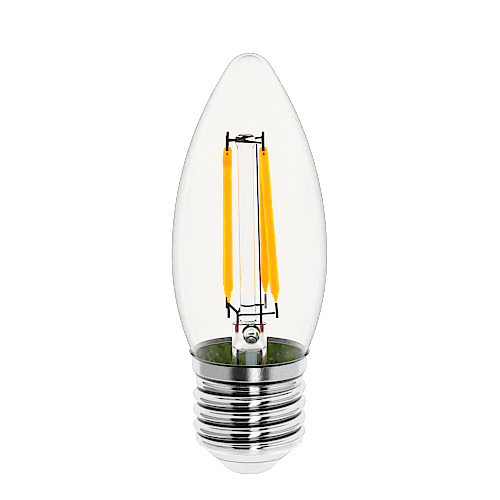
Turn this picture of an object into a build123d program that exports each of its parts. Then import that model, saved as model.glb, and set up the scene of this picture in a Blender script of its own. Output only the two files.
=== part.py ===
from build123d import *
from math import atan2, copysign, cos, degrees, pi, sin, sqrt, tan
import os

# Clear candle lamp: four LED filaments on a glass stem, in a blown envelope on an E27 screw cap.
# Millimetres. +Z runs up the lamp's axis to the tip. The origin is the middle of the contact's outer face.
# Seen from -Y, the front, the two leads and the flat press stand left and right.

os.makedirs("parts", exist_ok=True)

# Envelope
overall_length = 96.8
bulb_diameter = 35.5
belly_height = 21.9  # from the cap's rim up to the widest section
tip_radius = 5.5
glass_wall = 0.7
neck_drop = 5.1  # from the rim down to where the neck runs straight
neck_blend = 9.0

# Screw cap, rolled from sheet
cap_height = 28.4  # from the contact's face to the rim
collar_diameter = 26.4
collar_height = 4.1
lip_height = 1.2
lip_flare = 0.75
shell_wall = 0.3
rim_clearance = 0.3  # between the glass and the rim
shoulder_height = 2.7  # of the round from the collar in to the thread
thread_diameter = 26.1
thread_depth = 1.05
thread_pitch = 3.629
thread_runout = 1.2  # over which the thread rises and fades at its two ends
crest_height = 12.8  # where a crest passes the +X side
thread_foot = 8.3
bowl_height = 6.6
bowl_diameter = 22.9
mouth_height = 4.2
mouth_diameter = 18.2
rings_per_turn = 5
rings_per_round = 2

# Insulator and contact
cone_top_diameter = 16.8
cone_foot_diameter = 11.0
cone_step = 0.3  # from the cone's edge up to the shell's mouth
sleeve_wall = 1.0
contact_diameter = 9.4
contact_thickness = 0.6
contact_edge = 0.25
rivet_diameter = 2.0
rivet_head_diameter = 3.2
rivet_head_height = 0.5

# Cement between the neck and the shell
cement_wall = 0.5  # inside the thread
cement_room = 1.7  # inside the collar
cement_top_drop = 2.0  # below the rim
cement_foot_rise = 0.5  # above the neck's end

# Stem
press_rise = 6.6  # the press's top edge above the rim
press_height = 5.4
press_width = 8.0
press_thickness = 3.4
press_blend = 2.3
flare_diameter = 8.0
flare_wall = 0.9
flare_rise = 4.0  # of the spreading foot
exhaust_diameter = 2.6
exhaust_wall = 0.4
exhaust_offset = 0.45
exhaust_room = 3.3  # above the driver board
exhaust_hole_diameter = 2.2
exhaust_hole_drop = 2.3  # below the press's top edge
hole_lip_diameter = 4.4
hole_lip_rise = 0.6  # in front of the press
hole_lip_round = 0.5
column_diameter = 3.5
column_offset = -0.3
column_lean = 0.015  # sideways for each unit of height
bead_clearance = 0.15  # between the bead and the leads beside it
bead_height = 3.6
button_diameter = 4.7
button_height = 2.6
button_edge = 0.5

# Filaments and their end tabs
top_room = 17.6  # from the tabs' upper ends to the inside of the tip
filament_rise = 5.6  # from the press up to the filaments' lower ends
filament_width = 2.0
filament_thickness = 1.35
top_taper = 0.8
top_end_width = 1.3
foot_taper = 2.4
foot_end_width = 0.85
tab_length = 3.4
tab_width = 0.55
tab_thickness = 0.25
top_spread = 4.05
top_depth = 3.0
foot_spread = 4.3
foot_depth = 4.5
foot_splay = {"front_left": 0.0, "back_left": 0.5, "front_right": 2.1, "back_right": -0.2}

# Wires
lead_diameter = 0.55
support_diameter = 0.4
riser_diameter = 0.3
lead_clearance = 0.15  # between a lead and the flare tube's bore
weld_gap = 0.03
tie_drop = 1.35  # of the tie wire, below the filaments
cross_drop = 2.4  # of the cross wires' ends, below the filaments
elbow_rise = 2.25  # of the left lead's bend, above the press
right_lead_length = 4.2
riser_lap = 2.25  # along the right lead
riser_landing = 0.86  # share of the way along the lower support wire
cross_start_rise = {"front": 1.7, "rear": 2.0}
cross_pass_rise = {"front": 2.35, "rear": 3.45}
cross_run_share = 0.7  # of the bead's radius, straight on each side of its middle
wire_bend = 0.8
lead_bend = 1.2
outer_lead_feet = {"left": (-2.2, 1.8), "right": (1.5, -2.2)}

# Driver inside the cap
board_room = 4.7  # under the board, above the insulator's floor
component_room = 4.1  # above the board, under the flare
board_thickness = 1.0
board_inset = 0.2
solder_tail = 0.6
rectifier_size = (4.8, 3.9, 1.5)
rectifier_place = (-4.6, -3.7)
chip_size = (4.9, 3.9, 1.4)
chip_place = (5.2, -4.1)
capacitor_diameter = 3.6
capacitor_length = 7.0
capacitor_place = (0.0, 6.0)
fuse_diameter = 2.2
fuse_length = 5.0
fuse_lead_length = 1.0
fuse_place = (0.0, -4.0)
neutral_lap = 1.7  # on the board, in from its edge

# Fits
seat_gap = 0.08  # between pieces that seat on each other
seal_gap = 0.01  # between a wire and the glass that it is sealed in

# Heights and radii that follow
bulb_radius = bulb_diameter / 2
belly = cap_height + belly_height
collar_foot = cap_height - collar_height
thread_top = collar_foot - shoulder_height
thread_mean = thread_diameter / 2 - thread_depth / 2
thread_offset = thread_depth / 2
thread_bore = thread_diameter / 2 - thread_depth - shell_wall
collar_bore = collar_diameter / 2 - shell_wall
neck_radius = min(thread_bore - cement_wall, collar_bore - cement_room)
glass_at_rim = collar_diameter / 2 + lip_flare - shell_wall - rim_clearance
press_top = cap_height + press_rise
press_foot = press_top - press_height
flare_bore = flare_diameter / 2 - flare_wall
lead_x = flare_bore - lead_diameter / 2 - lead_clearance
bead_diameter = 2 * (lead_x - lead_diameter / 2 - abs(column_offset) - bead_clearance)
tab_top = overall_length - glass_wall - top_room
filament_top = tab_top - tab_length
filament_foot = press_top + filament_rise
sleeve_radius = bowl_diameter / 2 - shell_wall - seat_gap
insulator_floor = bowl_height
board_foot = insulator_floor + board_room
board_top = board_foot + board_thickness
neck_end = board_top + component_room + flare_wall


def straight_wire(start, end, diameter):
    """A round wire from start to end."""
    run = Vector(*end) - Vector(*start)
    with BuildPart() as wire:
        with BuildSketch(Plane(start, z_dir=run)):
            Circle(diameter / 2)
        extrude(amount=run.length)
    return wire


def bent_wire(points, diameter, bend):
    """A round wire through points, with its corners bent to one radius."""
    with BuildPart() as wire:
        with BuildLine() as route:
            FilletPolyline(*points, radius=bend)
        with BuildSketch(Plane(route.line @ 0, z_dir=route.line % 0)):
            Circle(diameter / 2)
        sweep()
    return wire


def between(start, end, share):
    """The point that lies a share of the way from start to end."""
    return tuple(a + (b - a) * share for a, b in zip(start, end))


def bulb_section(inset):
    """Half section of the envelope, filled to the axis, with every wall moved in by inset."""
    rise = overall_length - tip_radius - belly
    crown = (bulb_radius**2 + rise**2 - tip_radius**2) / (2 * (bulb_radius - tip_radius))
    sag = bulb_radius - glass_at_rim
    waist = (belly_height**2 + sag**2) / (2 * sag)
    crown_turn = degrees(atan2(rise, crown - bulb_radius))
    shoulder_turn = atan2(glass_at_rim - neck_radius, neck_drop)
    down = Vector(-sin(shoulder_turn), -cos(shoulder_turn))
    start = Vector(glass_at_rim - inset * cos(shoulder_turn), cap_height + inset * sin(shoulder_turn))
    reach = start - Vector(bulb_radius - waist, belly)
    along = reach.dot(down)
    half_chord = sqrt(max(0.0, along**2 - reach.dot(reach) + (waist - inset) ** 2))
    joint = start + down * (copysign(half_chord, along) - along)
    waist_turn = degrees(atan2(belly - joint.Y, joint.X - bulb_radius + waist))
    corner = Vector(neck_radius - inset, cap_height - neck_drop + inset * tan(shoulder_turn / 2))
    with BuildSketch(Plane.XZ) as section:
        with BuildLine():
            tip = CenterArc((0, belly + rise), tip_radius - inset, crown_turn, 90 - crown_turn)
            CenterArc((bulb_radius - crown, belly), crown - inset, 0, crown_turn)
            lower = CenterArc((bulb_radius - waist, belly), waist - inset, 0, -waist_turn)
            Polyline(lower @ 1, corner, (corner.X, neck_end), (0, neck_end), tip @ 1)
        make_face()
        fillet(section.vertices().sort_by_distance(corner)[0], radius=neck_blend + inset)
    return section.sketch


def quarter_round(low, high):
    """Rings of a quarter round that stands upright at its larger end, as height, radius and no offset."""
    (low_height, low_radius), (high_height, high_radius) = low, high
    rings = []
    for i in range(rings_per_round + 1):
        turn = i / rings_per_round * pi / 2
        if high_radius > low_radius:
            share, rise = sin(turn), 1 - cos(turn)
        else:
            share, rise = 1 - cos(turn), sin(turn)
        height = low_height + (high_height - low_height) * rise
        rings.append((height, low_radius + (high_radius - low_radius) * share, 0, 0))
    return rings


def cap_stations(inset):
    """Rings of the cap from its mouth to its lip, as height, radius and the two offsets of the centre."""
    collar = collar_diameter / 2
    thread_root = thread_mean - thread_offset
    rings = [(mouth_height, mouth_diameter / 2, 0, 0)]
    rings += quarter_round((bowl_height, bowl_diameter / 2), (thread_foot, thread_mean))
    steps = round((thread_top - thread_foot) / thread_pitch * rings_per_turn)
    for i in range(1, steps):
        height = thread_foot + (thread_top - thread_foot) * i / steps
        start = min(1, (height - thread_foot) / thread_runout)
        end = min(1, (thread_top - height) / thread_runout)
        offset = thread_offset * start * end
        turn = 2 * pi * (height - crest_height) / thread_pitch
        radius = thread_mean - thread_offset * (1 - end)
        rings.append((height, radius, offset * cos(turn), offset * sin(turn)))
    rings += quarter_round((thread_top, thread_root), (collar_foot, collar))
    rings.append((cap_height - lip_height, collar, 0, 0))
    rings.append((cap_height, collar + lip_flare, 0, 0))
    return [(height, radius - inset, x, y) for height, radius, x, y in rings]


def cap_body(inset):
    """The cap as a filled body. An off-centre ring that turns as it climbs makes the rolled thread."""
    with BuildPart() as body:
        for height, radius, x, y in cap_stations(inset):
            with BuildSketch(Plane((x, y, height))):
                Circle(radius)
        loft(ruled=True)
    return body.part


# Glass envelope
with BuildPart() as glass_envelope:
    revolve(bulb_section(0), axis=Axis.Z)
    revolve(bulb_section(glass_wall), axis=Axis.Z, mode=Mode.SUBTRACT)
glass_envelope.part.label = "glass_envelope"
export_step(glass_envelope.part, "parts/glass_envelope.step")

# Cap shell
with BuildPart() as cap_shell:
    add(cap_body(0))
    add(cap_body(shell_wall), mode=Mode.SUBTRACT)
cap_shell.part.label = "cap_shell"
export_step(cap_shell.part, "parts/cap_shell.step")

# Insulator: a cone below the shell, a flange that seats in its bowl and a sleeve that carries the board
with BuildPart() as cap_insulator:
    rivet_hole = rivet_diameter / 2 + seat_gap
    mouth = mouth_diameter / 2 - shell_wall - seat_gap
    with BuildSketch(Plane.XZ):
        with BuildLine():
            Polyline(
                (rivet_hole, contact_thickness),
                (cone_foot_diameter / 2, contact_thickness),
                (cone_top_diameter / 2, mouth_height - cone_step),
                (mouth, mouth_height),
                (sleeve_radius, bowl_height),
                (sleeve_radius, board_foot),
                (sleeve_radius - sleeve_wall, board_foot),
                (sleeve_radius - sleeve_wall, insulator_floor),
                (rivet_hole, insulator_floor),
                close=True,
            )
        make_face()
    revolve(axis=Axis.Z)
cap_insulator.part.label = "cap_insulator"
export_step(cap_insulator.part, "parts/cap_insulator.step")

# Centre contact, riveted through the insulator
with BuildPart() as centre_contact:
    with BuildSketch():
        Circle(contact_diameter / 2)
    extrude(amount=contact_thickness)
    chamfer(centre_contact.edges().group_by(Axis.Z)[0], length=contact_edge)
    with BuildSketch(Plane.XY.offset(contact_thickness)):
        Circle(rivet_diameter / 2)
    extrude(amount=insulator_floor - contact_thickness)
    with BuildSketch(Plane.XY.offset(insulator_floor)):
        Circle(rivet_head_diameter / 2)
    extrude(amount=rivet_head_height)
centre_contact.part.label = "centre_contact"
export_step(centre_contact.part, "parts/centre_contact.step")

# Capping cement, which fills the room between the neck and the shell
with BuildPart() as capping_cement:
    cement_foot = neck_end + cement_foot_rise
    cement_top = cap_height - cement_top_drop
    with BuildSketch(Plane.XZ):
        with BuildLine():
            Polyline(
                (0, cement_foot),
                (thread_bore - seat_gap, cement_foot),
                (thread_bore - seat_gap, thread_top),
                (collar_bore - seat_gap, collar_foot),
                (collar_bore - seat_gap, cement_top),
                (0, cement_top),
                close=True,
            )
        make_face()
    revolve(axis=Axis.Z)
    revolve(bulb_section(-seat_gap), axis=Axis.Z, mode=Mode.SUBTRACT)
capping_cement.part.label = "capping_cement"
export_step(capping_cement.part, "parts/capping_cement.step")

# Stem flare: a tube that spreads to the neck's end, and the flat press with its sealed wires
with BuildPart() as stem_flare:
    rim = neck_radius - seat_gap
    rim_bore = neck_radius - glass_wall - seat_gap
    with BuildSketch(Plane.XZ):
        with BuildLine():
            Polyline(
                (flare_bore, press_foot),
                (flare_diameter / 2, press_foot),
                (flare_diameter / 2, neck_end + flare_rise),
                (rim_bore, neck_end),
                (rim, neck_end),
                (rim, neck_end - flare_wall),
                (rim_bore, neck_end - flare_wall),
                (flare_bore, neck_end + flare_rise - flare_wall),
                close=True,
            )
        make_face()
    revolve(axis=Axis.Z)
    with BuildSketch(Plane.XY.offset(press_foot)):
        Circle(flare_diameter / 2)
    with BuildSketch(Plane.XY.offset(press_foot + press_blend)):
        SlotOverall(press_width, press_thickness)
    loft()
    with BuildSketch(Plane.XY.offset(press_foot + press_blend)):
        SlotOverall(press_width, press_thickness)
    extrude(amount=press_height - press_blend)
    hole_plane = Plane((exhaust_offset, 0, press_top - exhaust_hole_drop), z_dir=(0, -1, 0))
    with BuildSketch(hole_plane):
        Circle(hole_lip_diameter / 2)
    extrude(amount=press_thickness / 2 + hole_lip_rise)
    lip_front = hole_plane.from_local_coords((0, 0, press_thickness / 2 + hole_lip_rise))
    lip_face = stem_flare.faces().sort_by_distance(lip_front)[0]
    fillet(lip_face.edges(), radius=hole_lip_round)
    with BuildSketch(Plane.XY.offset(press_foot)):
        with Locations((exhaust_offset, 0)):
            Circle(exhaust_diameter / 2 - exhaust_wall)
    extrude(amount=press_height - exhaust_hole_drop, mode=Mode.SUBTRACT)
    with BuildSketch(Plane.XY.offset(press_foot)):
        with Locations((-lead_x, 0), (lead_x, 0)):
            Circle(lead_diameter / 2 + seal_gap)
    extrude(amount=press_height, mode=Mode.SUBTRACT)
    with BuildSketch(hole_plane):
        Circle(exhaust_hole_diameter / 2)
    extrude(amount=press_thickness, mode=Mode.SUBTRACT)
stem_flare.part.label = "stem_flare"
export_step(stem_flare.part, "parts/stem_flare.step")

# Exhaust tube, sealed off at its lower tip
with BuildPart() as exhaust_tube:
    tube_top = press_foot - seal_gap
    tip_centre = board_top + exhaust_room + exhaust_diameter / 2
    with BuildSketch(Plane((exhaust_offset, 0, 0), x_dir=(1, 0, 0), z_dir=(0, -1, 0))):
        with BuildLine():
            shell = CenterArc((0, tip_centre), exhaust_diameter / 2, -90, 90)
            bore = CenterArc((0, tip_centre), exhaust_diameter / 2 - exhaust_wall, -90, 90)
            Polyline(shell @ 1, ((shell @ 1).X, tube_top), ((bore @ 1).X, tube_top), bore @ 1)
            Line(shell @ 0, bore @ 0)
        make_face()
    revolve(axis=Axis((exhaust_offset, 0, 0), (0, 0, 1)))
exhaust_tube.part.label = "exhaust_tube"
export_step(exhaust_tube.part, "parts/exhaust_tube.step")


# Filaments stand round the column, and a point on one is found by its height
def column_at(height):
    """Sideways place of the leaning column's axis at a height."""
    return column_offset - column_lean * (height - press_top)


def filament_at(name, height):
    """Point on a filament's axis, or on the line of its tabs, at a height."""
    side = 1 if name.endswith("right") else -1
    row = -1 if name.startswith("front") else 1
    top = (column_at(filament_top) + side * top_spread, row * top_depth, filament_top)
    spread = foot_spread + foot_splay[name]
    foot = (column_at(filament_foot) + side * spread, row * foot_depth, filament_foot)
    return between(foot, top, (height - filament_foot) / (filament_top - filament_foot))


for name in foot_splay:
    run = Vector(*filament_at(name, filament_top)) - Vector(*filament_at(name, filament_foot))
    with BuildPart() as led_filament:
        sections = [
            (0, foot_end_width / filament_width),
            (foot_taper, 1),
            (run.length - top_taper, 1),
            (run.length, top_end_width / filament_width),
        ]
        base = Plane(filament_at(name, filament_foot), x_dir=(1, 0, 0), z_dir=run)
        for height, share in sections:
            with BuildSketch(base.offset(height)):
                SlotOverall(filament_width * share, filament_thickness * share)
        loft(ruled=True)
    led_filament.part.label = f"led_filament_{name}"
    export_step(led_filament.part, f"parts/led_filament_{name}.step")
    for end, height, sign in (("top", filament_top, 1), ("bottom", filament_foot, -1)):
        with BuildPart() as end_tab:
            with BuildSketch(Plane(filament_at(name, height), x_dir=(1, 0, 0), z_dir=run)):
                Rectangle(tab_width, tab_thickness)
            extrude(amount=sign * tab_length)
        end_tab.part.label = f"end_tab_{end}_{name}"
        export_step(end_tab.part, f"parts/end_tab_{end}_{name}.step")

# Two support wires cross in the button, one just above the other, and reach the filaments' upper tabs
tab_reach = tab_width / 2 + support_diameter / 2 + weld_gap
lower_support = filament_top + tab_length / 2
upper_support = lower_support + support_diameter + weld_gap
supports = {}
for level, height, ends in (
    ("lower", lower_support, ("back_left", "front_right")),
    ("upper", upper_support, ("front_left", "back_right")),
):
    left, right = (filament_at(end, height) for end in ends)
    share = tab_reach / (Vector(*right) - Vector(*left)).length
    supports[level] = between(left, right, share), between(left, right, 1 - share)
    support_wire = straight_wire(*supports[level], support_diameter)
    support_wire.part.label = f"top_support_wire_{level}"
    export_step(support_wire.part, f"parts/top_support_wire_{level}.step")

# Stem column: a rod on a foot bead, with the button that holds the support wires
with BuildPart() as stem_column:
    column_seat = press_top + bead_diameter / 2 * column_lean + seal_gap
    lean = Vector(-column_lean, 0, 1)
    button_foot = (lower_support + upper_support) / 2 - button_height / 2 - column_seat
    upright = Plane((column_at(column_seat), 0, column_seat), x_dir=(1, 0, column_lean), z_dir=(0, -1, 0))
    with BuildSketch(upright) as button_sketch:
        with BuildLine():
            Polyline(
                (0, 0),
                (bead_diameter / 2, 0),
                (bead_diameter / 2, bead_height - (bead_diameter - column_diameter) / 2),
                (column_diameter / 2, bead_height),
                (column_diameter / 2, button_foot),
                (button_diameter / 2, button_foot),
                (button_diameter / 2, button_foot + button_height),
                (0, button_foot + button_height),
                close=True,
            )
        make_face()
        rim_corners = button_sketch.vertices().group_by(Axis.X)[-1]
        chamfer(rim_corners, length=button_edge)
    revolve(axis=Axis(upright.origin, lean))
    for level in supports:
        add(straight_wire(*supports[level], support_diameter + 2 * seal_gap).part, mode=Mode.SUBTRACT)
stem_column.part.label = "stem_column"
export_step(stem_column.part, "parts/stem_column.step")

# Leads: sealed wires through the press, outer leads down to the board and inner leads above the press
for side, x in (("left", -lead_x), ("right", lead_x)):
    seal_wire = straight_wire((x, 0, press_foot), (x, 0, press_top), lead_diameter)
    seal_wire.part.label = f"seal_wire_{side}"
    export_step(seal_wire.part, f"parts/seal_wire_{side}.step")
    outer_foot = (*outer_lead_feet[side], board_foot - solder_tail)
    outer_lead = straight_wire((x, 0, press_foot - weld_gap), outer_foot, lead_diameter)
    outer_lead.part.label = f"outer_lead_{side}"
    export_step(outer_lead.part, f"parts/outer_lead_{side}.step")

# The left tie wire joins the lower tabs of the left filaments
tie_height = filament_foot - tie_drop
tie_reach = tab_thickness / 2 + weld_gap
tie_front = filament_at("front_left", tie_height)
tie_back = filament_at("back_left", tie_height)
tie_share = tie_reach / (Vector(*tie_back) - Vector(*tie_front)).length
left_tie_wire = straight_wire(
    between(tie_front, tie_back, tie_share), between(tie_front, tie_back, 1 - tie_share), support_diameter
)
left_tie_wire.part.label = "left_tie_wire"
export_step(left_tie_wire.part, "parts/left_tie_wire.step")

# The left lead bends over to the tie wire, and the right lead stands straight
lead_foot = press_top + weld_gap
tie_side = between(tie_front, tie_back, 0.5)[0] + support_diameter / 2 + weld_gap
lead_elbow = lead_foot + elbow_rise
inner_lead_left = bent_wire(
    [(-lead_x, 0, lead_foot), (-lead_x, 0, lead_elbow), (tie_side, 0, tie_height)], lead_diameter, lead_bend
)
inner_lead_left.part.label = "inner_lead_left"
export_step(inner_lead_left.part, "parts/inner_lead_left.step")
lead_top = lead_foot + right_lead_length
inner_lead_right = straight_wire((lead_x, 0, lead_foot), (lead_x, 0, lead_top), lead_diameter)
inner_lead_right.part.label = "inner_lead_right"
export_step(inner_lead_right.part, "parts/inner_lead_right.step")

# The riser is welded to the right lead and ends under the lower support wire
riser_side = (lead_diameter + riser_diameter) / 2 + weld_gap
riser_end = between(*supports["lower"], riser_landing)
riser_wire = straight_wire(
    (lead_x, -riser_side, lead_top - riser_lap),
    (riser_end[0], riser_end[1], riser_end[2] - (support_diameter + riser_diameter) / 2 - weld_gap),
    riser_diameter,
)
riser_wire.part.label = "riser_wire"
export_step(riser_wire.part, "parts/riser_wire.step")

# Cross wires run from the left lead round the bead, in front and behind, to the right filaments' lower tabs
round_bead = bead_diameter / 2 + support_diameter + seat_gap
lead_side = (lead_diameter + support_diameter) / 2 + weld_gap
cross_run = bead_diameter / 2 * cross_run_share
for row, sign, filament in (("front", -1, "front_right"), ("rear", 1, "back_right")):
    pass_height = lead_foot + cross_pass_rise[row]
    tab = filament_at(filament, filament_foot - cross_drop)
    bead_x = column_at(pass_height)
    end = (tab[0] - tab_reach, tab[1] - sign * tab_reach, tab[2])
    cross_wire = bent_wire(
        [
            (-lead_x, sign * lead_side, lead_foot + cross_start_rise[row]),
            (bead_x - cross_run, sign * round_bead, pass_height),
            (bead_x + cross_run, sign * round_bead, pass_height),
            end,
        ],
        support_diameter,
        wire_bend,
    )
    cross_wire.part.label = f"{row}_cross_wire"
    export_step(cross_wire.part, f"parts/{row}_cross_wire.step")

# Driver board on the insulator's sleeve, drilled for the wires
board_radius = sleeve_radius - board_inset
with BuildPart() as driver_board:
    with BuildSketch(Plane.XY.offset(board_foot)):
        Circle(board_radius)
        with Locations((0, 0), *outer_lead_feet.values()):
            Circle(lead_diameter, mode=Mode.SUBTRACT)
    extrude(amount=board_thickness)
driver_board.part.label = "driver_board"
export_step(driver_board.part, "parts/driver_board.step")

for name, size, place in (
    ("bridge_rectifier", rectifier_size, rectifier_place),
    ("driver_chip", chip_size, chip_place),
):
    with BuildPart() as component:
        with BuildSketch(Plane.XY.offset(board_top)):
            with Locations(place):
                Rectangle(size[0], size[1])
        extrude(amount=size[2])
    component.part.label = name
    export_step(component.part, f"parts/{name}.step")

# The capacitor lies on the board, and the fuse resistor hangs under it
with BuildPart() as smoothing_capacitor:
    capacitor_height = board_top + capacitor_diameter / 2 + seat_gap
    capacitor_end = (capacitor_place[0] - capacitor_length / 2, capacitor_place[1], capacitor_height)
    with BuildSketch(Plane(capacitor_end, z_dir=(1, 0, 0))):
        Circle(capacitor_diameter / 2)
    extrude(amount=capacitor_length)
smoothing_capacitor.part.label = "smoothing_capacitor"
export_step(smoothing_capacitor.part, "parts/smoothing_capacitor.step")

with BuildPart() as fuse_resistor:
    fuse_height = board_foot - fuse_diameter / 2 - seat_gap
    fuse_middle = Plane((*fuse_place, fuse_height), z_dir=(1, 0, 0))
    with BuildSketch(fuse_middle):
        Circle(fuse_diameter / 2)
    extrude(amount=fuse_length / 2, both=True)
    with BuildSketch(fuse_middle):
        Circle(lead_diameter / 2)
    extrude(amount=fuse_length / 2 + fuse_lead_length, both=True)
fuse_resistor.part.label = "fuse_resistor"
export_step(fuse_resistor.part, "parts/fuse_resistor.step")

# Live wire from the rivet to the board, and neutral wire from the board to the shell
rivet_top = insulator_floor + rivet_head_height
live_wire = straight_wire((0, 0, rivet_top + weld_gap), (0, 0, board_top + solder_tail), lead_diameter)
live_wire.part.label = "live_wire"
export_step(live_wire.part, "parts/live_wire.step")
neutral_height = board_top + lead_diameter / 2 + weld_gap
neutral_start = (board_radius - neutral_lap, 0, neutral_height)
neutral_end = (thread_bore - seat_gap, 0, neutral_height)
neutral_wire = straight_wire(neutral_start, neutral_end, lead_diameter)
neutral_wire.part.label = "neutral_wire"
export_step(neutral_wire.part, "parts/neutral_wire.step")
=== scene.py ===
"""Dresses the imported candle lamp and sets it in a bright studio.

Glass, cap, cement, stem and filaments get finer meshes in place of their nodes. The other nodes keep their
meshes and get finishes. Sizes of classes are in millimetres, and meshes are in metres.
"""
import logging
import math
from collections.abc import Callable, Iterable, Mapping, Sequence
from dataclasses import dataclass, field
from enum import Enum
from typing import Any

import bmesh
import bpy
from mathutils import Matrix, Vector, noise


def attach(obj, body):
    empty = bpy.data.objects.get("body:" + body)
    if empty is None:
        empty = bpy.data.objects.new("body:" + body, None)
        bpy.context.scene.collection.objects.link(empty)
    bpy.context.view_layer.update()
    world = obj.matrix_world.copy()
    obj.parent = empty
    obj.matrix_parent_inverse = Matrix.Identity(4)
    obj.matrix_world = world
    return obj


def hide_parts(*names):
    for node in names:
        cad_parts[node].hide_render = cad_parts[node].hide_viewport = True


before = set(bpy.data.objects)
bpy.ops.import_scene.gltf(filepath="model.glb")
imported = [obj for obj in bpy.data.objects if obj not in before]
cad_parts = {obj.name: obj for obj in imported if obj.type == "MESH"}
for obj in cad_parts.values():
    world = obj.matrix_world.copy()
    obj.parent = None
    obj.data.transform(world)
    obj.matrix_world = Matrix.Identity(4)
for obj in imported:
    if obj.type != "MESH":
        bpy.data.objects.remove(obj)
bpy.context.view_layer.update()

LOG = logging.getLogger("candle_lamp")
MM = 0.001
POLE = 1e-6
SIDE_SHARE = 0.45
BODY = "root"
SIDES = ("front_left", "back_left", "front_right", "back_right")

Color = tuple[float, float, float]
Point = tuple[float, float]
Band = tuple[float, float, float]
Ring = Sequence[Vector]
Socket = bpy.types.NodeSocket


# Node trees


class Graph:
    """Places and links nodes in one node tree."""

    def __init__(self, tree: bpy.types.NodeTree) -> None:
        """Keeps an emptied tree."""
        self.tree = tree
        tree.nodes.clear()

    def add(self, kind: str, inputs: Mapping[Any, Any] | None = None, **settings: Any) -> bpy.types.Node:
        """Adds a node.

        Args:
            kind: The node's type name, without the leading ShaderNode.
            inputs: Values or output sockets for its inputs, by socket name or number.
            settings: Values for the node's own properties.

        Returns:
            The new node.
        """
        name = kind if kind.startswith("NodeGroup") else f"ShaderNode{kind}"
        node = self.tree.nodes.new(name)
        for key, value in settings.items():
            setattr(node, key, value)
        for key, value in (inputs or {}).items():
            self.feed(node.inputs[key], value)
        return node

    def feed(self, socket: Socket, value: Any) -> None:
        """Sets or links one input.

        Args:
            socket: The input.
            value: A plain value, a colour of three numbers or an output socket.
        """
        if isinstance(value, Socket):
            self.tree.links.new(value, socket)
        elif socket.type == "RGBA" and len(value) == 3:
            socket.default_value = (*value, 1.0)
        else:
            socket.default_value = value

    def math(self, operation: str, *values: Any, clamp: bool = False) -> Socket:
        """Works out one operation, and keeps the result between 0 and 1 where clamp is set."""
        return self.add("Math", dict(enumerate(values)), operation=operation, use_clamp=clamp).outputs[0]

    def times(self, first: Any, second: Any) -> Socket:
        """Multiplies two values."""
        return self.math("MULTIPLY", first, second)

    def length(self, first: Any, second: Any) -> Socket:
        """Works out the length of two sides at a right angle."""
        return self.math("SQRT", self.math("ADD", self.times(first, first), self.times(second, second)))

    def ease(self, value: Any, low: float, high: float, to_low: float = 0.0, to_high: float = 1.0) -> Socket:
        """Maps a value smoothly, so that low becomes to_low and high becomes to_high."""
        sockets = {"Value": value, "From Min": low, "From Max": high, "To Min": to_low, "To Max": to_high}
        return self.add("MapRange", sockets, interpolation_type="SMOOTHSTEP").outputs["Result"]

    def ramp(self, value: Any, stops: Sequence[Point]) -> Socket:
        """Maps a value between 0 and 1 to greys that run straight from stop to stop.

        Args:
            value: The value.
            stops: Place and grey level of each stop, in order.

        Returns:
            The grey.
        """
        node = self.add("ValToRGB", {"Fac": value})
        elements = node.color_ramp.elements
        elements[0].position, elements[1].position = stops[0][0], stops[-1][0]
        for place, _ in stops[1:-1]:
            elements.new(place)
        for element, (_, level) in zip(elements, stops):
            element.color = (level, level, level, 1.0)
        return node.outputs["Color"]

    def mix(self, share: Any, first: Any, second: Any) -> Socket:
        """Mixes a share of the second colour into the first."""
        return self.add("Mix", {0: share, 6: first, 7: second}, data_type="RGBA").outputs[2]

    def blend(self, share: Any, first: Any, second: Any) -> Socket:
        """Mixes a share of the second shader into the first."""
        return self.add("MixShader", {0: share, 1: first, 2: second}).outputs[0]

    def clear(self, color: Color) -> Socket:
        """Lets light straight through, tinted."""
        return self.add("BsdfTransparent", {"Color": color}).outputs[0]

    def bump(self, height: Any, strength: float, distance: float) -> Socket:
        """Turns a height into a normal, over a distance in metres."""
        return self.add("Bump", {"Height": height, "Strength": strength, "Distance": distance}).outputs[0]

    def place(self) -> Any:
        """Gives a point's X, Y and Z on the lamp, in metres."""
        return self.add("SeparateXYZ", {"Vector": self.add("TexCoord").outputs["Object"]}).outputs

    def stored(self, name: str) -> Socket:
        """Gives a value that the mesh keeps for each point."""
        return self.add("Attribute", attribute_name=name, attribute_type="GEOMETRY").outputs["Fac"]


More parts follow.
